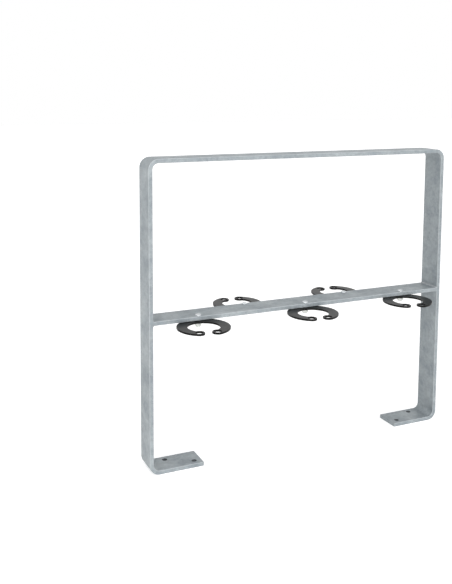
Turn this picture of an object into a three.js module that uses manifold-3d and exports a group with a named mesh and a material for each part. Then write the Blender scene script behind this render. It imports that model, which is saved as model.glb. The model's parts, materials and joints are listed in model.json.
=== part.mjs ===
import * as THREE from 'three';
import { mergeVertices } from 'three/addons/utils/BufferGeometryUtils.js';
import Module from 'manifold-3d';

// A parking hoop of galvanised flat steel with a welded cross bar. Five open hooks hang
// under the bar, three on the near side and two on the far side. Each one swings on its
// bolt, takes a steering column and closes with a padlock through its two eyelets.
// Millimetres, +X along the hoop, +Y to the far side, +Z up. The origin lies on the
// ground under the middle of the hoop.

// Hoop: one flat bar, bent at two top corners and two feet.
const frameWidth = 1000;
const frameHeight = 900;
const barWidth = 80;
const barThickness = 12;
const bendInnerRadius = 18;
const footLength = 165;

// Anchor holes: two in each foot, on a diagonal.
const anchorHoleRadius = 7;
const bendAnchorInset = 65;
const tipAnchorInset = 23;
const anchorSideOffset = 20;

// Cross bar, cut from the same flat bar. The end bolts keep their distance to the uprights,
// and the others stand evenly between them.
const crossBarUnderside = 435;
const boltEdgeDistance = 10;
const endBoltInset = 138;

// Fillet welds that hold the cross bar between the uprights.
const weldLeg = 5;
const weldEndInset = 1.5;
const weldBulgeShare = 0.62;

// Hook: a flat open ring cut from plate, with an eyelet at each tip. The inside of the ring
// sits a little further out than the outside, so the band is widest at the bolt.
const ringOuterRadius = 76;
const ringInnerRadius = 46.5;
const ringInnerShift = 3.5;
const ringBackDistance = 14;
const hookThickness = 5.5;
const eyeletRadius = 16;
const eyeletHoleRadius = 11;
const eyeletHalfSpacing = 26;

// The turn that each hook was left at, in degrees, anticlockwise seen from above.
const hooks = [
  { place: 'near_left', turn: -8 },
  { place: 'far_left', turn: -5.5 },
  { place: 'near_middle', turn: -8 },
  { place: 'far_right', turn: -5 },
  { place: 'near_right', turn: -15.5 },
];

// Bolt, washer and lock nut.
const shankRadius = 5;
const headRadius = 8.5;
const headHeight = 5;
const headRim = 1;
const threadEnd = 0.4;
const washerRadius = 10.5;
const washerThickness = 2.5;
const nutAcrossFlats = 16;
const nutHexHeight = 7;
const nutCollarRadius = 7.4;
const nutCollarRound = 1.5;
const nutHeight = 10;

// Clearances: touching faces, a hook's play under the bar, bolt in a drilled hole, and bolt
// in its washer or nut.
const seatGap = 0.3;
const hookPlay = 0.8;
const holeClearance = 0.5;
const threadClearance = 0.3;

// How far a cutter runs past the face it cuts, and a joined piece into its neighbour.
const overrun = 1;

// Arc steps: quarter bends, hook outlines, holes, round fasteners and their domes.
const bendSteps = 6;
const ringSteps = 28;
const holeSteps = 10;
const roundSides = 24;
const domeSteps = 5;

const boltSideOffset = barWidth / 2 - boltEdgeDistance;
const crossBarTop = crossBarUnderside + barThickness;
const innerHalfWidth = frameWidth / 2 - barThickness;
const hookPitch = 2 * (innerHalfWidth - endBoltInset) / (hooks.length - 1);
const boltHoleRadius = shankRadius + holeClearance;
const nutBoreRadius = shankRadius + threadClearance;

const zinc = { color: 0xa4a9ac, roughness: 0.5, metalness: 0.75 };
const weldZinc = { color: 0x8f9496, roughness: 0.6, metalness: 0.7 };
const blackCoat = { color: 0x2a2a27, roughness: 0.5, metalness: 0 };
const platedSteel = { color: 0xc9ccca, roughness: 0.35, metalness: 0.85 };
const blackSteel = { color: 0x26262a, roughness: 0.5, metalness: 0.6 };

const wasm = await Module();
wasm.setup();

// Turns a closed geometry into a solid that can be joined and cut.
function solid(geometry) {
  const bare = geometry.clone();
  bare.deleteAttribute('normal');
  bare.deleteAttribute('uv');
  const merged = mergeVertices(bare);
  return new wasm.Manifold(new wasm.Mesh({
    numProp: 3,
    vertProperties: new Float32Array(merged.attributes.position.array),
    triVerts: new Uint32Array(merged.index.array),
  }));
}

// Turns a solid back into a geometry with flat faces.
function geometryOf(body) {
  const mesh = body.getMesh();
  const geometry = new THREE.BufferGeometry();
  geometry.setAttribute('position', new THREE.BufferAttribute(mesh.vertProperties, 3));
  geometry.setIndex(new THREE.BufferAttribute(mesh.triVerts, 1));
  geometry.computeVertexNormals();
  return geometry;
}

function namedMesh(name, geometry, look) {
  const mesh = new THREE.Mesh(geometry, new THREE.MeshStandardMaterial(look));
  mesh.name = name;
  return mesh;
}

// An outline in the XY plane, raised along +Z from z.
function upright(shape, height, z, curveSegments) {
  const geometry = new THREE.ExtrudeGeometry(shape, { depth: height, bevelEnabled: false, curveSegments });
  return geometry.translate(0, 0, z);
}

// An outline in the XZ plane, spread along Y over the given depth around y.
function sideways(shape, depth, y, curveSegments) {
  const geometry = new THREE.ExtrudeGeometry(shape, { depth, bevelEnabled: false, curveSegments });
  return geometry.rotateX(Math.PI / 2).translate(0, y + depth / 2, 0);
}

function disc(x, y, radius) {
  return new THREE.Shape().absarc(x, y, radius, 0, 2 * Math.PI, false);
}

// A round cutter along Z, through everything between two heights.
function drill(x, y, radius, fromZ, toZ) {
  return solid(upright(disc(x, y, radius), toZ - fromZ + 2 * overrun, fromZ - overrun, holeSteps));
}

// A turned piece about Z from a list of [radius, height] points. The lathe turns about Y,
// so its axis is stood up along +Z.
function turned(points) {
  const profile = points.map(([radius, height]) => new THREE.Vector2(radius, height));
  return new THREE.LatheGeometry(profile, roundSides).rotateX(Math.PI / 2);
}

// The hoop

function hoopOutline() {
  const outerRadius = bendInnerRadius + barThickness;
  const bendX = frameWidth / 2 - outerRadius;
  const lowBendZ = outerRadius;
  const highBendZ = frameHeight - outerRadius;
  const tipX = frameWidth / 2 - footLength;
  const quarter = Math.PI / 2;
  const bends = [
    { x: -bendX, z: lowBendZ, from: -quarter },
    { x: -bendX, z: highBendZ, from: -2 * quarter },
    { x: bendX, z: highBendZ, from: -3 * quarter },
    { x: bendX, z: lowBendZ, from: -4 * quarter },
  ];
  const outline = new THREE.Shape().moveTo(-tipX, barThickness);
  outline.lineTo(-tipX, 0);
  for (const bend of bends) {
    outline.absarc(bend.x, bend.z, outerRadius, bend.from, bend.from - quarter, true);
  }
  outline.lineTo(tipX, 0);
  outline.lineTo(tipX, barThickness);
  for (const bend of bends.reverse()) {
    outline.absarc(bend.x, bend.z, bendInnerRadius, bend.from - quarter, bend.from, false);
  }
  outline.closePath();
  return outline;
}

function hoop() {
  let body = solid(sideways(hoopOutline(), barWidth, 0, bendSteps));
  for (const side of [-1, 1]) {
    const bendAnchorX = side * (frameWidth / 2 - bendAnchorInset);
    const tipAnchorX = side * (frameWidth / 2 - footLength + tipAnchorInset);
    body = body.subtract(drill(bendAnchorX, anchorSideOffset, anchorHoleRadius, 0, barThickness));
    body = body.subtract(drill(tipAnchorX, -anchorSideOffset, anchorHoleRadius, 0, barThickness));
  }
  return namedMesh('frame', geometryOf(body), zinc);
}

// The cross bar, drilled for the hook bolts

const hookPlaces = hooks.map(({ place, turn }, index) => ({
  place,
  x: (index - (hooks.length - 1) / 2) * hookPitch,
  side: index % 2 === 0 ? -1 : 1,
  turn: THREE.MathUtils.degToRad(turn),
}));

function crossBar() {
  const length = 2 * (innerHalfWidth - seatGap);
  const box = new THREE.BoxGeometry(length, barWidth, barThickness);
  let body = solid(box.translate(0, 0, crossBarUnderside + barThickness / 2));
  for (const { x, side } of hookPlaces) {
    const y = side * boltSideOffset;
    body = body.subtract(drill(x, y, boltHoleRadius, crossBarUnderside, crossBarTop));
  }
  return namedMesh('cross_bar', geometryOf(body), zinc);
}

// Fillet welds, above and below each end of the cross bar

function weldBead(name, side, cornerZ, upward) {
  const bulge = weldBulgeShare * weldLeg;
  const section = new THREE.Shape().moveTo(seatGap, seatGap);
  section.lineTo(weldLeg, seatGap);
  section.quadraticCurveTo(bulge, bulge, seatGap, weldLeg);
  section.closePath();
  const bead = sideways(section, barWidth - 2 * weldEndInset, 0, domeSteps);
  const mesh = namedMesh(name, bead, weldZinc);
  mesh.position.set(side * innerHalfWidth, 0, cornerZ);
  const quarterTurns = side < 0 ? (upward ? 0 : 1) : (upward ? 3 : 2);
  mesh.rotation.y = quarterTurns * Math.PI / 2;
  return mesh;
}

function welds() {
  const group = new THREE.Group();
  for (const [label, side] of [['left', -1], ['right', 1]]) {
    group.add(weldBead(`weld_${label}_top`, side, crossBarTop, true));
    group.add(weldBead(`weld_${label}_bottom`, side, crossBarUnderside, false));
  }
  return group;
}

// One hook. The bolt axis is the origin, +Y points away from the bar, and the top face
// lies hookPlay under the bar.

function ringOutline(outerY, innerY, eyeletY) {
  const opening = Math.PI / 2;
  const outerGap = Math.atan2(eyeletHalfSpacing, eyeletY - outerY);
  const innerGap = Math.atan2(eyeletHalfSpacing, eyeletY - innerY);
  const turn = 2 * Math.PI;
  const outline = new THREE.Shape();
  outline.absarc(0, outerY, ringOuterRadius, opening + outerGap, opening - outerGap + turn, false);
  outline.absarc(0, innerY, ringInnerRadius, opening - innerGap + turn, opening + innerGap, true);
  outline.closePath();
  return outline;
}

function hook() {
  const top = -hookPlay;
  const bottom = top - hookThickness;
  const outerY = ringOuterRadius - ringBackDistance;
  const innerY = outerY + ringInnerShift;
  const eyeletReach = ringOuterRadius - eyeletRadius;
  const halfGapAngle = Math.asin(Math.min(1, eyeletHalfSpacing / eyeletReach));
  const eyeletY = outerY + eyeletReach * Math.cos(halfGapAngle);
  const ring = ringOutline(outerY, innerY, eyeletY);
  let body = solid(upright(ring, hookThickness, bottom, ringSteps));
  for (const side of [-1, 1]) {
    const eyelet = disc(side * eyeletHalfSpacing, eyeletY, eyeletRadius);
    body = body.add(solid(upright(eyelet, hookThickness, bottom, holeSteps)));
  }
  for (const side of [-1, 1]) {
    body = body.subtract(drill(side * eyeletHalfSpacing, eyeletY, eyeletHoleRadius, bottom, top));
  }
  body = body.subtract(drill(0, 0, boltHoleRadius, bottom, top));
  return geometryOf(body);
}

// Fasteners, each with the hook's origin: the bolt axis at the bar's underside

function bolt() {
  const seat = barThickness + seatGap;
  const end = nutTop - nutHeight - threadEnd;
  const points = [[0, end], [shankRadius, end], [shankRadius, seat], [headRadius, seat]];
  for (let step = 0; step <= domeSteps; step += 1) {
    const angle = step / domeSteps * Math.PI / 2;
    const height = seat + headRim + (headHeight - headRim) * Math.sin(angle);
    points.push([step < domeSteps ? headRadius * Math.cos(angle) : 0, height]);
  }
  return turned(points);
}

const washerTop = -(hookPlay + hookThickness + seatGap);
const nutTop = washerTop - washerThickness - seatGap;

function washer() {
  const bottom = washerTop - washerThickness;
  return turned([
    [nutBoreRadius, bottom],
    [washerRadius, bottom],
    [washerRadius, washerTop],
    [nutBoreRadius, washerTop],
    [nutBoreRadius, bottom],
  ]);
}

function lockNut() {
  const hexSides = 6;
  const cornerRadius = nutAcrossFlats / 2 / Math.cos(Math.PI / hexSides);
  const hex = new THREE.CylinderGeometry(cornerRadius, cornerRadius, nutHexHeight, hexSides);
  const hexBody = solid(hex.rotateX(Math.PI / 2).translate(0, 0, nutTop - nutHexHeight / 2));
  const bottom = nutTop - nutHeight;
  const points = [[0, bottom]];
  for (let step = 0; step <= domeSteps; step += 1) {
    const angle = step / domeSteps * Math.PI / 2;
    const radius = nutCollarRadius - nutCollarRound * (1 - Math.sin(angle));
    points.push([radius, bottom + nutCollarRound * (1 - Math.cos(angle))]);
  }
  points.push([nutCollarRadius, nutTop - nutHexHeight / 2], [0, nutTop - nutHexHeight / 2]);
  const collar = solid(turned(points));
  return geometryOf(hexBody.add(collar).subtract(drill(0, 0, nutBoreRadius, bottom, nutTop)));
}

function hookSet({ place, x, side, turn }) {
  const group = new THREE.Group();
  const hookMesh = namedMesh(`hook_${place}`, hook(), blackCoat);
  hookMesh.rotation.z = turn;
  group.add(hookMesh);
  group.add(namedMesh(`bolt_${place}`, bolt(), platedSteel));
  group.add(namedMesh(`washer_${place}`, washer(), blackSteel));
  group.add(namedMesh(`nut_${place}`, lockNut(), platedSteel));
  group.position.set(x, side * boltSideOffset, crossBarUnderside);
  group.rotation.z = side < 0 ? Math.PI : 0;
  return group;
}

const rack = new THREE.Group();
rack.add(hoop());
rack.add(crossBar());
rack.add(welds());
for (const hookPlace of hookPlaces) {
  rack.add(hookSet(hookPlace));
}

export default rack;
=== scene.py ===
import json
import math

import bmesh
import bpy
from mathutils import Matrix, Vector


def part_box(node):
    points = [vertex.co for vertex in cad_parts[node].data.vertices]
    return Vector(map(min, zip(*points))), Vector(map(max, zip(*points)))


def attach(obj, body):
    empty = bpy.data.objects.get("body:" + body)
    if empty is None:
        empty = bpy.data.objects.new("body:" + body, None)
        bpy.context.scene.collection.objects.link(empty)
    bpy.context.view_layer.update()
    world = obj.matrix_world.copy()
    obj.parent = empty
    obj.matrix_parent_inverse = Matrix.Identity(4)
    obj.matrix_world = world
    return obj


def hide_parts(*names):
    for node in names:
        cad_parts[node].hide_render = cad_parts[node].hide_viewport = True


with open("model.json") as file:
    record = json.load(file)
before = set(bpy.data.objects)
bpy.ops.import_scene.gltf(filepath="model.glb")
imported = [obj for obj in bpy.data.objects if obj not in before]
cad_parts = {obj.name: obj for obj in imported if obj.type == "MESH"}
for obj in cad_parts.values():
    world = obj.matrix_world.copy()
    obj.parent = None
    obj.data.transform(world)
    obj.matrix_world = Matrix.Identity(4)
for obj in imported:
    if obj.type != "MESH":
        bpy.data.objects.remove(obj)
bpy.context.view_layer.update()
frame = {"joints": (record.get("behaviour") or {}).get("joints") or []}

# A parking hoop of hot-dip galvanised flat steel with a welded cross bar. Five black
# coated hooks turn on bolts under the bar. The rack stands on a plain pale floor.

MM = 0.001

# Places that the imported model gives
hoop_low, hoop_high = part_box("frame")
bar_low, bar_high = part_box("cross_bar")
HALF_LENGTH = hoop_high.x
HEIGHT = hoop_high.z
BAR_WIDTH = hoop_high.y - hoop_low.y
BAR_THICKNESS = bar_high.z - bar_low.z
INNER_HALF = HALF_LENGTH - BAR_THICKNESS

# Hoop and cross bar
BEND_INNER_RADIUS = 18 * MM
FOOT_LENGTH = 165 * MM
BEND_STEPS = 20
EDGE_RADIUS = 1.6 * MM
EDGE_STEPS = 5
CUT_EDGE = 0.7 * MM
CUT_EDGE_ANGLE = 60
ANCHOR_RADIUS = 7 * MM
ANCHOR_PLACES = ((65 * MM, 20 * MM), (FOOT_LENGTH - 23 * MM, -20 * MM))
BOLT_HOLE_RADIUS = 5.5 * MM
HOLE_RIM = 1.1 * MM
DRILL_SIDES = 40

# Fillet welds. Bulge, shrink and sways are shares of the leg.
WELD_LEG = 5 * MM
WELD_LENGTH = 77 * MM
WELD_SINK = 0.5 * MM
WELD_STEPS = 200
WELD_FACE_STEPS = 10
WELD_BULGE = 0.12
END_SHRINK = 0.55
END_LENGTH = 1.2 * WELD_LEG
SLOW_SWAY = 0.05
SLOW_SWAY_WAVE = 9 * MM
QUICK_SWAY = 0.04
QUICK_SWAY_WAVE = 3.7 * MM
RIPPLE_PITCH = 2.3 * MM
RIPPLE_HEIGHT = 0.28 * MM
RIPPLE_LAG = RIPPLE_PITCH * 1.6
RIPPLE_WANDER = 0.15
RIPPLE_WANDER_WAVE = 5.3 * MM

# Hook: its inner circle's centre lies further from the bolt than the outer one's
RING_RADIUS = 76 * MM
RING_INNER_RADIUS = 46.5 * MM
RING_INNER_SHIFT = 3.5 * MM
RING_BACK_DISTANCE = 14 * MM
EYELET_RADIUS = 16 * MM
EYELET_HOLE_RADIUS = 11 * MM
EYELET_HALF_SPACING = 26 * MM
HOOK_THICKNESS = 5.5 * MM
HOOK_EDGE = 0.7 * MM
HOOK_EDGE_STEPS = 4
OUTER_ARC_STEPS = 110
INNER_ARC_STEPS = 90
EYELET_ARC_STEPS = 26
EYELET_HOLE_STEPS = 36
BOLT_HOLE_STEPS = 24
HOOK_PLAY = 0.8 * MM
SEAT_GAP = 0.3 * MM

# Bolt, washer and lock nut, measured down from the cross bar's underside
HEAD_RADIUS = 8.5 * MM
HEAD_HEIGHT = 5 * MM
HEAD_RIM = 1 * MM
HEAD_EDGE = 0.2 * MM
HEAD_STEPS = 12
BOLT_SIDES = 48
SHANK_RADIUS = 5 * MM
THREAD_PITCH = 1.5 * MM
THREAD_DEPTH = 0.8 * MM
THREAD_LENGTH = 14 * MM
WASHER_RADIUS = 10.5 * MM
WASHER_THICKNESS = 2.5 * MM
WASHER_EDGE = 0.35 * MM
WASHER_SIDES = 64
WASHER_TOP = -(HOOK_PLAY + HOOK_THICKNESS + SEAT_GAP)
NUT_TOP = WASHER_TOP - WASHER_THICKNESS - SEAT_GAP
NUT_FLATS = 16 * MM
NUT_HEX_HEIGHT = 7 * MM
NUT_HEIGHT = 10 * MM
NUT_BORE = 5.3 * MM
NUT_SIDES = 96
CHAMFER_START = NUT_FLATS / 2 * 0.97
CHAMFER_SLOPE = math.tan(math.radians(30))
COLLAR_RADIUS = 7.4 * MM
COLLAR_ROUND = 1.5 * MM
COLLAR_STEPS = 6
# The collar's mouth: how much wider than the bore, and how far above the nut's end
COLLAR_MOUTH = ((0.2 * MM, 0.3 * MM), (0, 0.6 * MM))
BOLT_END = NUT_TOP - NUT_HEIGHT - 0.4 * MM

# The floor lies this far under the feet, so that the two faces don't share a plane
FLOOR_DROP = 0.3 * MM
FLOOR_REACH = 20

# Camera, fitted to the photograph's view
CAMERA_PLACE = Vector((-1203.6, -2101.8, 1096.3)) * MM
CAMERA_YAW = 24.373
CAMERA_PITCH = 6.28
CAMERA_ROLL = 0.287
CAMERA_LENS = 49.68
CAMERA_SHIFT_Y = -0.2

# The studio is brightest in this direction, as the photograph's light from the front is.
# It is dim where the cosine to that direction is under DIM_UNTIL, bright over BRIGHT_FROM.
STUDIO_FRONT = (-0.05, -0.98, 0.15)
STUDIO_DIM = 0.3
STUDIO_BRIGHT = 1.25
DIM_UNTIL = -0.2
BRIGHT_FROM = 0.7

# The white that the floor adds of its own to what the lamps give it
FLOOR_GLOW = 0.56


# Small helpers

def linear(hexadecimal):
    """A colour written as sRGB hex, as linear red, green, blue and alpha."""
    parts = [int(hexadecimal[i:i + 2], 16) / 255 for i in (1, 3, 5)]
    return [c / 12.92 if c <= 0.04045 else ((c + 0.055) / 1.055) ** 2.4 for c in parts] + [1]


def per(size_mm):
    """The texture scale at which one cell or wave measures size_mm."""
    return 1 / (size_mm * MM)


def add(tree, kind, inputs=None, **settings):
    """Adds a node. Each input is a value, or the output that feeds it."""
    made = tree.nodes.new(kind)
    for name, value in settings.items():
        setattr(made, name, value)
    for name, value in (inputs or {}).items():
        if isinstance(value, bpy.types.NodeSocket):
            tree.links.new(value, made.inputs[name])
        else:
            made.inputs[name].default_value = value
    return made


def surface(name, build):
    """A material whose build function returns the inputs of its Principled shader."""
    made = bpy.data.materials.new(name)
    made.use_nodes = True
    tree = made.node_tree
    tree.nodes.clear()
    shader = add(tree, "ShaderNodeBsdfPrincipled", build(tree))
    add(tree, "ShaderNodeOutputMaterial", {"Surface": shader.outputs["BSDF"]})
    return made


def mesh_object(name, mesh):
    made = bpy.data.objects.new(name, mesh)
    bpy.context.collection.objects.link(made)
    return made


def from_bmesh(name, body):
    """A mesh object from a bmesh, which is used up."""
    mesh = bpy.data.meshes.new(name)
    body.to_mesh(mesh)
    body.free()
    return mesh_object(name, mesh)


def settled(source, name, material, sharp=35):
    """Turns an object with its modifiers into a plain smooth mesh with flat faces kept flat."""
    bpy.context.view_layer.update()
    graph = bpy.context.evaluated_depsgraph_get()
    mesh = bpy.data.meshes.new_from_object(source.evaluated_get(graph))
    old = source.data
    bpy.data.objects.remove(source)
    if old.users == 0:
        bpy.data.meshes.remove(old)
    mesh.name = name
    mesh.shade_smooth()
    mesh.set_sharp_from_angle(angle=math.radians(sharp))
    if material:
        mesh.materials.clear()
        mesh.materials.append(material)
    made = mesh_object(name, mesh)
    made.modifiers.new("Flat faces stay flat", "WEIGHTED_NORMAL").keep_sharp = True
    return made


def joins(piece, body, nodes):
    """Puts a finished piece in the place of its CAD nodes."""
    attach(piece, body)
    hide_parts(*nodes)


def turned(points, sides, closed=False):
    """A bmesh turned about Z from (radius, height) points, from one end of the axis to the
    other, or round a closed outline."""
    body = bmesh.new()
    rings = []
    for radius, height in points:
        if radius == 0:
            rings.append([body.verts.new((0, 0, height))] * sides)
            continue
        ring = []
        for i in range(sides):
            angle = 2 * math.pi * i / sides
            ring.append(body.verts.new((
                radius * math.cos(angle), radius * math.sin(angle), height)))
        rings.append(ring)
    pairs = list(zip(rings, rings[1:]))
    if closed:
        pairs.append((rings[-1], rings[0]))
    skin(body, pairs)
    return body


def skin(body, pairs):
    """Faces between pairs of closed rings of vertices. A ring of one repeated vertex is a tip."""
    for low, high in pairs:
        for i in range(len(low)):
            j = (i + 1) % len(low)
            corners = []
            for corner in (low[i], low[j], high[j], high[i]):
                if corner not in corners:
                    corners.append(corner)
            if len(corners) > 2:
                body.faces.new(corners)


def outward(body):
    bmesh.ops.recalc_face_normals(body, faces=body.faces)
    return body


def arc(centre, radius, start, end, steps, last=True):
    """Points on an arc, in degrees, with or without its last point."""
    points = []
    for i in range(steps + (1 if last else 0)):
        angle = math.radians(start + (end - start) * i / steps)
        points.append(Vector((
            centre[0] + radius * math.cos(angle), centre[1] + radius * math.sin(angle))))
    return points


# Finishes

def zinc_coat(tree):
    """Hot-dip zinc on rolled steel: a dull blue grey with clouds about 50 mm wide, spangle
    crystals of about 7 mm, and a painted highlight that lightens the rounded edges."""
    place = add(tree, "ShaderNodeTexCoord").outputs["Object"]
    clouds = add(tree, "ShaderNodeTexNoise", {
        "Vector": place, "Scale": per(48), "Detail": 5, "Roughness": 0.65})
    mottle = add(tree, "ShaderNodeTexNoise", {
        "Vector": place, "Scale": per(10), "Detail": 4, "Roughness": 0.65})
    grain = add(tree, "ShaderNodeTexNoise", {"Vector": place, "Scale": per(2.2), "Detail": 3})
    crystals = add(tree, "ShaderNodeTexVoronoi", {"Vector": place, "Scale": per(7), "Randomness": 1})
    crystal = add(tree, "ShaderNodeSeparateColor", {"Color": crystals.outputs["Color"]})
    soft = add(tree, "ShaderNodeMapRange", {
        "Value": clouds.outputs["Fac"], "From Min": 0.35, "From Max": 0.65, "To Min": 0, "To Max": 1})
    broad = add(tree, "ShaderNodeMix", {
        0: soft.outputs["Result"], 6: linear("#8B9398"), 7: linear("#A0A7AA")}, data_type="RGBA")
    patch = add(tree, "ShaderNodeMapRange", {
        "Value": mottle.outputs["Fac"], "From Min": 0.3, "From Max": 0.7, "To Min": 0.9, "To Max": 1.08})
    spangle = add(tree, "ShaderNodeMapRange", {
        "Value": crystal.outputs["Red"], "To Min": 0.92, "To Max": 1.07})
    shade = add(tree, "ShaderNodeMath", {0: patch.outputs["Result"], 1: spangle.outputs["Result"]},
                operation="MULTIPLY")
    mottled = add(tree, "ShaderNodeVectorMath", {0: broad.outputs[2], "Scale": shade.outputs["Value"]},
                  operation="SCALE")
    # Y is the bar's width. The rounded edges are what faces partly along it and partly off it. There the
    # colour is lightened toward a pale zinc as a painted highlight.
    facing = add(tree, "ShaderNodeSeparateXYZ", {
        "Vector": add(tree, "ShaderNodeTexCoord").outputs["Normal"]})
    across = add(tree, "ShaderNodeMath", {0: facing.outputs["Y"], 1: facing.outputs["Y"]},
                 operation="MULTIPLY")
    along = add(tree, "ShaderNodeMath", {0: 1.0, 1: across.outputs["Value"]}, operation="SUBTRACT")
    edge = add(tree, "ShaderNodeMath", {0: across.outputs["Value"], 1: along.outputs["Value"]},
               operation="MULTIPLY")
    # Painted highlight: how far the rounded edges are lightened toward #C3C8CA.
    bright = add(tree, "ShaderNodeMapRange", {
        "Value": edge.outputs["Value"], "From Max": 0.25, "To Max": 0.7})
    colour = add(tree, "ShaderNodeMix", {
        0: bright.outputs["Result"], 6: mottled.outputs["Vector"], 7: linear("#C3C8CA")}, data_type="RGBA")
    rough = add(tree, "ShaderNodeMapRange", {
        "Value": soft.outputs["Result"], "To Min": 0.56, "To Max": 0.44})
    lumps = add(tree, "ShaderNodeMath", {0: grain.outputs["Fac"], 1: mottle.outputs["Fac"]}, operation="ADD")
    bump = add(tree, "ShaderNodeBump", {
        "Strength": 0.18, "Distance": 0.6 * MM, "Height": lumps.outputs["Value"]})
    return {"Base Color": colour.outputs[2], "Metallic": 0.3, "Roughness": rough.outputs["Result"],
            "Normal": bump.outputs["Normal"]}


def weld_zinc(tree):
    """Zinc over a weld: greyer and rougher than on the rolled bar."""
    place = add(tree, "ShaderNodeTexCoord").outputs["Object"]
    blotch = add(tree, "ShaderNodeTexNoise", {"Vector": place, "Scale": per(5), "Detail": 4})
    colour = add(tree, "ShaderNodeMix", {
        0: blotch.outputs["Fac"], 6: linear("#7C8184"), 7: linear("#B2B7BA")}, data_type="RGBA")
    bump = add(tree, "ShaderNodeBump", {
        "Strength": 0.4, "Distance": 0.4 * MM, "Height": blotch.outputs["Fac"]})
    return {"Base Color": colour.outputs[2], "Metallic": 0.7, "Roughness": 0.45,
            "Normal": bump.outputs["Normal"]}


def bore_shade_finish(tree):
    """Zinc in the drilled holes, darkened as painted shade, with a noise mottle."""
    place = add(tree, "ShaderNodeTexCoord").outputs["Object"]
    # Painted shade: dark greys on the hole walls in place of the bar's zinc colour.
    bore_mottle = add(tree, "ShaderNodeTexNoise", {"Vector": place, "Scale": per(3), "Detail": 4})
    colour = add(tree, "ShaderNodeMix", {
        0: bore_mottle.outputs["Fac"], 6: linear("#484C4F"), 7: linear("#777C7F")}, data_type="RGBA")
    return {"Base Color": colour.outputs[2], "Metallic": 0.3, "Roughness": 0.65}


def powder_coat(tree):
    """Black powder coat on steel plate: satin, with a fine orange peel and faint clouds."""
    place = add(tree, "ShaderNodeTexCoord").outputs["Object"]
    peel = add(tree, "ShaderNodeTexNoise", {"Vector": place, "Scale": per(1.4), "Detail": 2})
    cloud = add(tree, "ShaderNodeTexNoise", {"Vector": place, "Scale": per(22), "Detail": 4})
    colour = add(tree, "ShaderNodeMix", {
        0: cloud.outputs["Fac"], 6: linear("#070706"), 7: linear("#0F0F0E")}, data_type="RGBA")
    rough = add(tree, "ShaderNodeMapRange", {
        "Value": cloud.outputs["Fac"], "To Min": 0.26, "To Max": 0.36})
    bump = add(tree, "ShaderNodeBump", {
        "Strength": 0.2, "Distance": 0.1 * MM, "Height": peel.outputs["Fac"]})
    return {"Base Color": colour.outputs[2], "Metallic": 0.0, "Roughness": rough.outputs["Result"],
            "Specular IOR Level": 0.15, "Normal": bump.outputs["Normal"]}


def bright_plating(tree):
    """Electroplated zinc on the bolts: bright, with a faint blue cast and fine handling marks."""
    place = add(tree, "ShaderNodeTexCoord").outputs["Object"]
    marks = add(tree, "ShaderNodeTexNoise", {"Vector": place, "Scale": per(1.6), "Detail": 4})
    colour = add(tree, "ShaderNodeMix", {
        0: marks.outputs["Fac"], 6: linear("#C0C5C8"), 7: linear("#E2E6E8")}, data_type="RGBA")
    rough = add(tree, "ShaderNodeMapRange", {"Value": marks.outputs["Fac"], "To Min": 0.12, "To Max": 0.24})
    return {"Base Color": colour.outputs[2], "Metallic": 1.0, "Roughness": rough.outputs["Result"]}


def dull_plating(tree):
    """Plated lock nut: the same zinc, duller and paler than on the bolt's head."""
    place = add(tree, "ShaderNodeTexCoord").outputs["Object"]
    marks = add(tree, "ShaderNodeTexNoise", {"Vector": place, "Scale": per(1.2), "Detail": 3})
    colour = add(tree, "ShaderNodeMix", {
        0: marks.outputs["Fac"], 6: linear("#C2C5C2"), 7: linear("#E2E3DE")}, data_type="RGBA")
    rough = add(tree, "ShaderNodeMapRange", {"Value": marks.outputs["Fac"], "To Min": 0.36, "To Max": 0.5})
    return {"Base Color": colour.outputs[2], "Metallic": 0.8, "Roughness": rough.outputs["Result"]}


def black_oxide(tree):
    """Blackened washer, with paler rubbed spots."""
    place = add(tree, "ShaderNodeTexCoord").outputs["Object"]
    rub = add(tree, "ShaderNodeTexNoise", {"Vector": place, "Scale": per(3), "Detail": 4})
    spots = add(tree, "ShaderNodeMapRange", {
        "Value": rub.outputs["Fac"], "From Min": 0.5, "From Max": 0.8})
    colour = add(tree, "ShaderNodeMix", {
        0: spots.outputs["Result"], 6: linear("#1E1E20"), 7: linear("#47474A")}, data_type="RGBA")
    return {"Base Color": colour.outputs[2], "Metallic": 0.5, "Roughness": 0.45}


zinc = surface("Hot-dip galvanised steel", zinc_coat)
zinc_weld = surface("Galvanised weld", weld_zinc)
bore_painted_shade = surface("Ashy zinc in drilled holes", bore_shade_finish)
coat_black = surface("Black powder coat", powder_coat)
plated_bolt = surface("Bright zinc plating", bright_plating)
plated_nut = surface("Dull zinc plating", dull_plating)
washer_black = surface("Black oxide steel", black_oxide)


# Flat bar along a path, for the hoop and the cross bar

def node_tree(name, inputs):
    """A Geometry Nodes tree with named inputs, and its input and output nodes."""
    tree = bpy.data.node_groups.new(name, "GeometryNodeTree")
    tree.interface.new_socket("Geometry", in_out="OUTPUT", socket_type="NodeSocketGeometry")
    tree.interface.new_socket("Geometry", in_out="INPUT", socket_type="NodeSocketGeometry")
    for label, kind in inputs.items():
        tree.interface.new_socket(label, in_out="INPUT", socket_type=kind)
    return tree, add(tree, "NodeGroupInput").outputs


def with_tree(source, tree, values):
    """Adds the tree to an object as a modifier, with its inputs set by their identifiers."""
    modifier = source.modifiers.new(tree.name, "NODES")
    modifier.node_group = tree
    for item in tree.interface.items_tree:
        if item.in_out == "INPUT" and item.name in values:
            modifier[item.identifier] = values[item.name]
    return source


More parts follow.
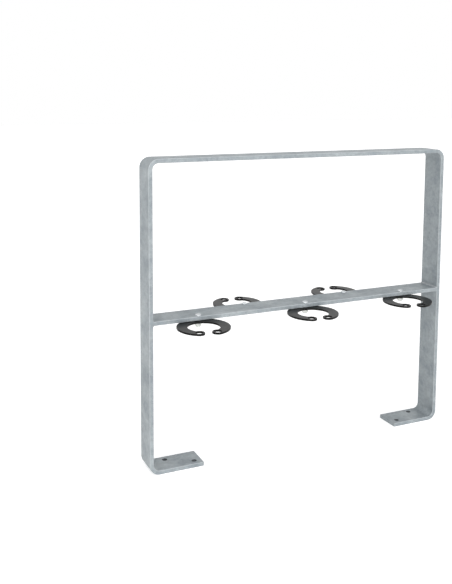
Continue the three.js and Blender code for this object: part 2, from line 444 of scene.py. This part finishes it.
def flat_bar_tree():
    tree, given = node_tree("Flat bar along a path", {
        "Bar width": "NodeSocketFloat",
        "Bar thickness": "NodeSocketFloat",
        "Edge radius": "NodeSocketFloat",
        "Bend radius": "NodeSocketFloat",
        "Holes": "NodeSocketObject",
        "Finish": "NodeSocketMaterial"})
    path = add(tree, "GeometryNodeMeshToCurve", {"Mesh": given["Geometry"]})
    bent = add(tree, "GeometryNodeFilletCurve", {
        "Curve": path.outputs["Curve"], "Radius": given["Bend radius"], "Count": BEND_STEPS}, mode="POLY")
    level = add(tree, "GeometryNodeSetCurveNormal", {
        "Curve": bent.outputs["Curve"], "Normal": (0, 1, 0)}, mode="FREE")
    section = add(tree, "GeometryNodeCurvePrimitiveQuadrilateral", {
        "Width": given["Bar width"], "Height": given["Bar thickness"]})
    rounded = add(tree, "GeometryNodeFilletCurve", {
        "Curve": section.outputs["Curve"], "Radius": given["Edge radius"], "Count": EDGE_STEPS},
        mode="POLY")
    bar = add(tree, "GeometryNodeCurveToMesh", {
        "Curve": level.outputs["Curve"], "Profile Curve": rounded.outputs["Curve"], "Fill Caps": True})
    # The finish is set before the holes are cut, because the drills bring the holes' own darker finish,
    # which paints shade into them.
    coated = add(tree, "GeometryNodeSetMaterial", {
        "Geometry": bar.outputs["Mesh"], "Material": given["Finish"]})
    cutters = add(tree, "GeometryNodeObjectInfo", {"Object": given["Holes"]})
    drilled = add(tree, "GeometryNodeMeshBoolean", {
        "Mesh 1": coated.outputs["Geometry"], "Mesh 2": cutters.outputs["Geometry"]},
        operation="DIFFERENCE", solver="EXACT")
    real = add(tree, "GeometryNodeRealizeInstances", {"Geometry": drilled.outputs["Mesh"]})
    add(tree, "NodeGroupOutput", {"Geometry": real.outputs["Geometry"]})
    return tree


def hole_cutter(body, x, y, z, radius):
    """Adds a drill with a flared rim, which leaves a rounded edge on both faces of the bar."""
    reach = BAR_THICKNESS / 2
    lip = [(radius + HOLE_RIM * (1 - math.sin(a)), reach - HOLE_RIM * (1 - math.cos(a)))
           for a in (0, math.pi / 6, math.pi / 3, math.pi / 2)]
    upper = [(lip[0][0], 2 * reach)] + lip
    points = upper + [(r, -h) for r, h in reversed(upper)]
    cutter = outward(turned([(0, 2 * reach)] + points + [(0, -2 * reach)], DRILL_SIDES))
    mesh = bpy.data.meshes.new("cutter")
    cutter.to_mesh(mesh)
    cutter.free()
    mesh.transform(Matrix.Translation((x, y, z)))
    body.from_mesh(mesh)
    bpy.data.meshes.remove(mesh)


bar_tree = flat_bar_tree()


def flat_bar(name, path, holes, nodes):
    """A galvanised flat bar along a path of points, drilled, with softened cut ends."""
    line = bpy.data.meshes.new(name + "_path")
    line.from_pydata(path, [(i, i + 1) for i in range(len(path) - 1)], [])
    drills = bmesh.new()
    for x, y, z, radius in holes:
        hole_cutter(drills, x, y, z, radius)
    cutters = from_bmesh(name + "_drills", drills)
    # The drills carry the holes' painted shade onto their walls.
    cutters.data.materials.append(bore_painted_shade)
    bar = with_tree(mesh_object(name + "_path", line), bar_tree, {
        "Bar width": BAR_WIDTH,
        "Bar thickness": BAR_THICKNESS,
        "Edge radius": EDGE_RADIUS,
        "Bend radius": BEND_INNER_RADIUS + BAR_THICKNESS / 2,
        "Holes": cutters,
        "Finish": zinc})
    ends = bar.modifiers.new("Softened cut ends", "BEVEL")
    ends.limit_method = "ANGLE"
    ends.angle_limit = math.radians(CUT_EDGE_ANGLE)
    ends.width = CUT_EDGE
    ends.segments = 2
    piece = settled(bar, name, None)
    bpy.data.objects.remove(cutters)
    joins(piece, "rack", nodes)


def make_hoop():
    low = BAR_THICKNESS / 2
    side = HALF_LENGTH - low
    tip = HALF_LENGTH - FOOT_LENGTH
    top = HEIGHT - low
    path = [(-tip, 0, low), (-side, 0, low), (-side, 0, top),
            (side, 0, top), (side, 0, low), (tip, 0, low)]
    holes = []
    for hand in (-1, 1):
        for inset, y in ANCHOR_PLACES:
            holes.append((hand * (HALF_LENGTH - inset), y, low, ANCHOR_RADIUS))
    flat_bar("hoop_bar", path, holes, ["frame"])


class Place:
    """Where a hook hangs and how far it is turned at rest, from its joint. The middle of
    the joint's range is straight out from the bar."""

    def __init__(self, joint):
        self.name = joint["child"]
        self.x, self.y, _ = joint["pos_m"]
        self.z = bar_low.z
        low, high = joint["range_deg"]
        self.turn = -(low + high) / 2
        self.facing = 180 if self.y < 0 else 0

    def matrix(self):
        turned_by = Matrix.Rotation(math.radians(self.facing + self.turn), 4, "Z")
        return Matrix.Translation((self.x, self.y, self.z)) @ turned_by


places = [Place(joint) for joint in frame["joints"]]


def make_cross_bar():
    middle = (bar_low.z + bar_high.z) / 2
    reach = INNER_HALF + SEAT_GAP
    holes = [(p.x, p.y, middle, BOLT_HOLE_RADIUS) for p in places]
    path = [(-reach, 0, middle), (reach, 0, middle)]
    flat_bar("cross_bar_steel", path, holes, ["cross_bar"])


# Fillet welds: a bead of overlapping crescents

def weld_bead(name, side, corner_z, upward):
    body = bmesh.new()
    slope = math.sqrt(0.5)
    rings = []
    for i in range(WELD_STEPS + 1):
        y = WELD_LENGTH * (i / WELD_STEPS - 0.5)
        from_end = min(i, WELD_STEPS - i) / WELD_STEPS * WELD_LENGTH
        swell = 1 - END_SHRINK * max(0, 1 - from_end / END_LENGTH) ** 2
        quick = math.sin(y / QUICK_SWAY_WAVE + corner_z / MM + side)
        sway = SLOW_SWAY * math.sin(y / SLOW_SWAY_WAVE) + QUICK_SWAY * quick
        wander = RIPPLE_WANDER * math.sin(y / RIPPLE_WANDER_WAVE)
        leg = WELD_LEG * swell * (1 + sway)
        ring = []
        for k in range(WELD_FACE_STEPS + 1):
            t = k / WELD_FACE_STEPS
            lag = RIPPLE_LAG * (2 * t - 1) ** 2
            phase = ((y - lag) / RIPPLE_PITCH + wander) % 1
            crest = RIPPLE_HEIGHT * (1 - phase) * 4 * t * (1 - t)
            bulge = WELD_BULGE * leg * 4 * t * (1 - t) + crest
            ring.append((leg * (1 - t) + bulge * slope, leg * t + bulge * slope))
        ring += [(-WELD_SINK, ring[-1][1]), (-WELD_SINK, -WELD_SINK), (ring[0][0], -WELD_SINK)]
        rings.append([body.verts.new((
            side * (INNER_HALF - a), y, corner_z + (b if upward else -b))) for a, b in ring])
    skin(body, list(zip(rings, rings[1:])))
    body.faces.new(rings[0])
    body.faces.new(rings[-1])
    piece = settled(from_bmesh("bead_" + name, outward(body)), "bead_" + name, zinc_weld, 50)
    joins(piece, "rack", ["weld_" + name])


def make_welds():
    for label, side in (("left", -1), ("right", 1)):
        weld_bead(label + "_top", side, bar_high.z, True)
        weld_bead(label + "_bottom", side, bar_low.z, False)


# Hooks. The bolt axis is the origin, +Y points away from the bar, and 0 is the bar's underside.

OUTER_CENTRE = Vector((0, RING_RADIUS - RING_BACK_DISTANCE))
INNER_CENTRE = OUTER_CENTRE + Vector((0, RING_INNER_SHIFT))
EYELET_REACH = RING_RADIUS - EYELET_RADIUS
HALF_GAP = math.degrees(math.asin(EYELET_HALF_SPACING / EYELET_REACH))
EYELET_Y = OUTER_CENTRE.y + EYELET_REACH * math.cos(math.radians(HALF_GAP))


def hook_outline(inset):
    """The hook's outline, inset all round: outer arc, right eyelet, inner arc, left eyelet."""
    eyelet = EYELET_RADIUS - inset
    inner = RING_INNER_RADIUS + inset
    right_centre = Vector((EYELET_HALF_SPACING, EYELET_Y))
    left_centre = Vector((-EYELET_HALF_SPACING, EYELET_Y))
    to_inner = INNER_CENTRE - right_centre
    apart = to_inner.length
    meet = (apart ** 2 + eyelet ** 2 - inner ** 2) / (2 * apart * eyelet)
    leave = math.degrees(math.atan2(to_inner.y, to_inner.x) + math.acos(meet)) % 360
    right, left = 90 - HALF_GAP, 90 + HALF_GAP
    start = arc(right_centre, eyelet, 0, leave, 1)[-1] - INNER_CENTRE
    from_angle = math.degrees(math.atan2(start.y, start.x))
    points = arc(OUTER_CENTRE, RING_RADIUS - inset, left, right + 360, OUTER_ARC_STEPS, last=False)
    points += arc(right_centre, eyelet, right, leave, EYELET_ARC_STEPS, last=False)
    points += arc(INNER_CENTRE, inner, from_angle, 180 - from_angle - 360, INNER_ARC_STEPS, last=False)
    points += arc(left_centre, eyelet, 540 - leave, left + 360, EYELET_ARC_STEPS, last=False)
    return points


def hook_loops(inset):
    """The outline and the holes, inset into the plate."""
    loops = [hook_outline(inset)]
    for hand in (-1, 1):
        centre = (hand * EYELET_HALF_SPACING, EYELET_Y)
        loops.append(arc(centre, EYELET_HOLE_RADIUS + inset, 360, 0, EYELET_HOLE_STEPS, last=False))
    loops.append(arc((0, 0), BOLT_HOLE_RADIUS + inset, 360, 0, BOLT_HOLE_STEPS, last=False))
    return loops


def hook_plate():
    """The plate, with its cut edges softened by the coat."""
    body = bmesh.new()
    top = -HOOK_PLAY
    bottom = top - HOOK_THICKNESS
    levels = []
    for step in range(HOOK_EDGE_STEPS + 1):
        angle = math.radians(90 * step / HOOK_EDGE_STEPS)
        levels.append((HOOK_EDGE * (1 - math.sin(angle)), bottom + HOOK_EDGE * (1 - math.cos(angle))))
    levels += [(inset, top + bottom - z) for inset, z in reversed(levels)]
    stacks = []
    for inset, z in levels:
        stacks.append([[body.verts.new((p.x, p.y, z)) for p in loop] for loop in hook_loops(inset)])
    for low, high in zip(stacks, stacks[1:]):
        skin(body, list(zip(low, high)))
    for stack in (stacks[0], stacks[-1]):
        edges = []
        for loop in stack:
            for i, vertex in enumerate(loop):
                edges.append(body.edges.get((vertex, loop[(i + 1) % len(loop)])))
        bmesh.ops.triangle_fill(body, edges=edges, use_beauty=True)
    return outward(body)


def make_hooks():
    pattern = settled(from_bmesh("hook_plate", hook_plate()), "hook_pattern", coat_black)
    for place in places:
        mesh = pattern.data.copy()
        mesh.transform(place.matrix())
        piece = mesh_object("coated_" + place.name, mesh)
        piece.modifiers.new("Flat faces stay flat", "WEIGHTED_NORMAL").keep_sharp = True
        joins(piece, place.name, [place.name])
    bpy.data.objects.remove(pattern)


# Fasteners, repeated at every bolt place

def dome(radius, low, high, steps):
    return [(radius * math.cos(a), low + (high - low) * math.sin(a))
            for a in [math.pi / 2 * i / steps for i in range(steps)]] + [(0, high)]


def bolt():
    """A plain domed head on a shank, with a real thread's flanks on its last stretch."""
    seat = BAR_THICKNESS + SEAT_GAP
    points = [(0, BOLT_END), (SHANK_RADIUS - THREAD_DEPTH, BOLT_END)]
    turns = int(THREAD_LENGTH / THREAD_PITCH)
    for i in range(turns):
        z = BOLT_END + THREAD_PITCH * (i + 0.5)
        points += [(SHANK_RADIUS, z), (SHANK_RADIUS - THREAD_DEPTH, z + THREAD_PITCH / 2)]
    points += [(SHANK_RADIUS, BOLT_END + THREAD_PITCH * (turns + 0.5)), (SHANK_RADIUS, seat),
               (HEAD_RADIUS - HEAD_EDGE, seat), (HEAD_RADIUS, seat + HEAD_EDGE)]
    points += dome(HEAD_RADIUS, seat + HEAD_RIM, seat + HEAD_HEIGHT, HEAD_STEPS)
    return turned(points, BOLT_SIDES)


def washer():
    soft = WASHER_EDGE
    top = WASHER_TOP
    low = WASHER_TOP - WASHER_THICKNESS
    outline = [(NUT_BORE, low), (WASHER_RADIUS - soft, low), (WASHER_RADIUS, low + soft),
               (WASHER_RADIUS, top - soft), (WASHER_RADIUS - soft, top), (NUT_BORE, top)]
    return turned(outline, WASHER_SIDES, closed=True)


def lock_nut():
    """A hexagon with chamfered corners on its washer side and a rounded collar below."""
    body = bmesh.new()
    low_hex = NUT_TOP - NUT_HEX_HEIGHT
    corner_angle = math.radians(60)

    def ring(radius_at, height_at):
        made = []
        for i in range(NUT_SIDES):
            angle = 2 * math.pi * i / NUT_SIDES
            off_flat = (angle + corner_angle / 2) % corner_angle - corner_angle / 2
            flat = NUT_FLATS / 2 / math.cos(off_flat)
            radius = radius_at(flat)
            made.append(body.verts.new((
                radius * math.cos(angle), radius * math.sin(angle), height_at(flat))))
        return made

    def drop(flat):
        return max(0, flat - CHAMFER_START) * CHAMFER_SLOPE

    rings = [
        ring(lambda flat: NUT_BORE, lambda flat: NUT_TOP),
        ring(lambda flat: CHAMFER_START, lambda flat: NUT_TOP),
        ring(lambda flat: flat, lambda flat: NUT_TOP - drop(flat)),
        ring(lambda flat: flat, lambda flat: low_hex + drop(flat)),
        ring(lambda flat: CHAMFER_START, lambda flat: low_hex),
        ring(lambda flat: COLLAR_RADIUS, lambda flat: low_hex),
    ]
    bottom = NUT_TOP - NUT_HEIGHT
    for step in range(COLLAR_STEPS + 1):
        angle = math.pi / 2 * step / COLLAR_STEPS
        radius = COLLAR_RADIUS - COLLAR_ROUND * (1 - math.cos(angle))
        height = bottom + COLLAR_ROUND * (1 - math.sin(angle))
        rings.append(ring(lambda flat, r=radius: r, lambda flat, h=height: h))
    for wider, above in COLLAR_MOUTH:
        rings.append(ring(lambda flat, w=wider: NUT_BORE + w, lambda flat, a=above: bottom + a))
    skin(body, list(zip(rings, rings[1:])) + [(rings[-1], rings[0])])
    return body


def repeat_tree():
    tree, given = node_tree("One at each bolt place", {
        "Piece": "NodeSocketObject",
        "Finish": "NodeSocketMaterial"})
    piece = add(tree, "GeometryNodeObjectInfo", {"Object": given["Piece"]})
    points = add(tree, "GeometryNodeMeshToPoints", {"Mesh": given["Geometry"]})
    copies = add(tree, "GeometryNodeInstanceOnPoints", {
        "Points": points.outputs["Points"], "Instance": piece.outputs["Geometry"]})
    real = add(tree, "GeometryNodeRealizeInstances", {"Geometry": copies.outputs["Instances"]})
    coated = add(tree, "GeometryNodeSetMaterial", {
        "Geometry": real.outputs["Geometry"], "Material": given["Finish"]})
    add(tree, "NodeGroupOutput", {"Geometry": coated.outputs["Geometry"]})
    return tree


def at_bolts(name, body, material, kind, tree):
    """One piece of the rack that holds a copy of the bmesh at every bolt place."""
    pattern = from_bmesh(name + "_pattern", outward(body))
    spots = bpy.data.meshes.new(name + "_places")
    spots.from_pydata([(p.x, p.y, p.z) for p in places], [], [])
    holder = with_tree(mesh_object(name + "_places", spots), tree, {
        "Piece": pattern, "Finish": material})
    piece = settled(holder, name, material)
    bpy.data.objects.remove(pattern)
    joins(piece, "rack", [p.name.replace("hook", kind) for p in places])


def make_fasteners():
    tree = repeat_tree()
    at_bolts("coach_bolts", bolt(), plated_bolt, "bolt", tree)
    at_bolts("plate_washers", washer(), washer_black, "washer", tree)
    at_bolts("lock_nuts", lock_nut(), plated_nut, "nut", tree)


# Floor, light and camera

def plainly_seen(tree):
    """1 for what the camera sees, also in gloss or through glass, and 0 for soft light."""
    ray = add(tree, "ShaderNodeLightPath")
    seen = add(tree, "ShaderNodeMath", {
        0: ray.outputs["Is Camera Ray"], 1: ray.outputs["Is Glossy Ray"]}, operation="MAXIMUM")
    seen = add(tree, "ShaderNodeMath", {
        0: seen.outputs["Value"], 1: ray.outputs["Is Transmission Ray"]}, operation="MAXIMUM")
    return seen.outputs["Value"]


def make_floor():
    """A pale floor that takes soft shadows and otherwise looks as white as the studio."""
    body = bmesh.new()
    lowered = Matrix.Translation((0, 0, -FLOOR_DROP))
    bmesh.ops.create_grid(body, x_segments=1, y_segments=1, size=FLOOR_REACH, matrix=lowered)
    floor = from_bmesh("floor", body)
    material = bpy.data.materials.new("Pale floor")
    material.use_nodes = True
    tree = material.node_tree
    tree.nodes.clear()
    lit = add(tree, "ShaderNodeBsdfDiffuse", {"Color": linear("#E4E4E4")})
    glow = add(tree, "ShaderNodeMath", {0: plainly_seen(tree), 1: FLOOR_GLOW}, operation="MULTIPLY")
    white = add(tree, "ShaderNodeEmission", {"Strength": glow.outputs["Value"]})
    both = add(tree, "ShaderNodeAddShader", {0: lit.outputs["BSDF"], 1: white.outputs["Emission"]})
    add(tree, "ShaderNodeOutputMaterial", {"Surface": both.outputs["Shader"]})
    floor.data.materials.append(material)


def make_world():
    """A white studio: plain white to the camera and in gloss, softly brighter in front."""
    world = bpy.data.worlds.new("White studio")
    bpy.context.scene.world = world
    world.use_nodes = True
    tree = world.node_tree
    tree.nodes.clear()
    way = add(tree, "ShaderNodeTexCoord").outputs["Generated"]
    ahead = add(tree, "ShaderNodeVectorMath", {0: way, 1: STUDIO_FRONT}, operation="DOT_PRODUCT")
    level = add(tree, "ShaderNodeMapRange", {
        "Value": ahead.outputs["Value"], "From Min": DIM_UNTIL, "From Max": BRIGHT_FROM,
        "To Min": STUDIO_DIM, "To Max": STUDIO_BRIGHT}, interpolation_type="SMOOTHSTEP")
    strength = add(tree, "ShaderNodeMix", {0: plainly_seen(tree), 2: level.outputs["Result"], 3: 1.0})
    sky = add(tree, "ShaderNodeBackground", {
        "Color": linear("#FFFFFF"), "Strength": strength.outputs[0]})
    add(tree, "ShaderNodeOutputWorld", {"Surface": sky.outputs["Background"]})


def make_lamp(name, strength, spread, toward):
    """A broad soft lamp far away, shining in a direction."""
    lamp = bpy.data.lights.new(name, "SUN")
    lamp.energy = strength
    lamp.angle = math.radians(spread)
    made = bpy.data.objects.new(name, lamp)
    made.rotation_euler = Vector(toward).to_track_quat("-Z", "Y").to_euler()
    bpy.context.collection.objects.link(made)


def make_softbox(name, watts, size, place, aim):
    """A square soft lamp near the rack, whose light falls off along it."""
    lamp = bpy.data.lights.new(name, "AREA")
    lamp.size = size
    lamp.energy = watts
    made = bpy.data.objects.new(name, lamp)
    made.location = place
    made.rotation_euler = (Vector(aim) - Vector(place)).to_track_quat("-Z", "Y").to_euler()
    bpy.context.collection.objects.link(made)


def make_camera():
    """A camera turned right by its yaw, down by its pitch and over by its roll."""
    yaw, pitch, roll = (math.radians(a) for a in (CAMERA_YAW, CAMERA_PITCH, CAMERA_ROLL))
    level = Vector((math.sin(yaw), math.cos(yaw), 0))
    side = Vector((math.cos(yaw), -math.sin(yaw), 0))
    up = Vector((0, 0, 1))
    ahead = level * math.cos(pitch) - up * math.sin(pitch)
    head = up * math.cos(pitch) + level * math.sin(pitch)
    right = side * math.cos(roll) + head * math.sin(roll)
    top = head * math.cos(roll) - side * math.sin(roll)
    lens = bpy.data.cameras.new("camera")
    lens.lens = CAMERA_LENS
    lens.shift_y = CAMERA_SHIFT_Y
    made = bpy.data.objects.new("camera", lens)
    turn = Matrix((right, top, -ahead)).transposed().to_4x4()
    made.matrix_world = Matrix.Translation(CAMERA_PLACE) @ turn
    bpy.context.collection.objects.link(made)
    bpy.context.scene.camera = made


make_hoop()
make_cross_bar()
make_welds()
make_hooks()
make_fasteners()
make_floor()
make_world()
make_lamp("key", strength=1.0, spread=60, toward=(0.05, 0.95, -0.3))
make_lamp("fill", strength=0.5, spread=80, toward=(-0.9, 0.3, -0.2))
make_softbox("side", watts=9, size=0.8, place=(-1.95, -0.9, 1.1), aim=(-0.45, 0, 0.65))
make_camera()
bpy.context.scene.view_settings.view_transform = "Standard"
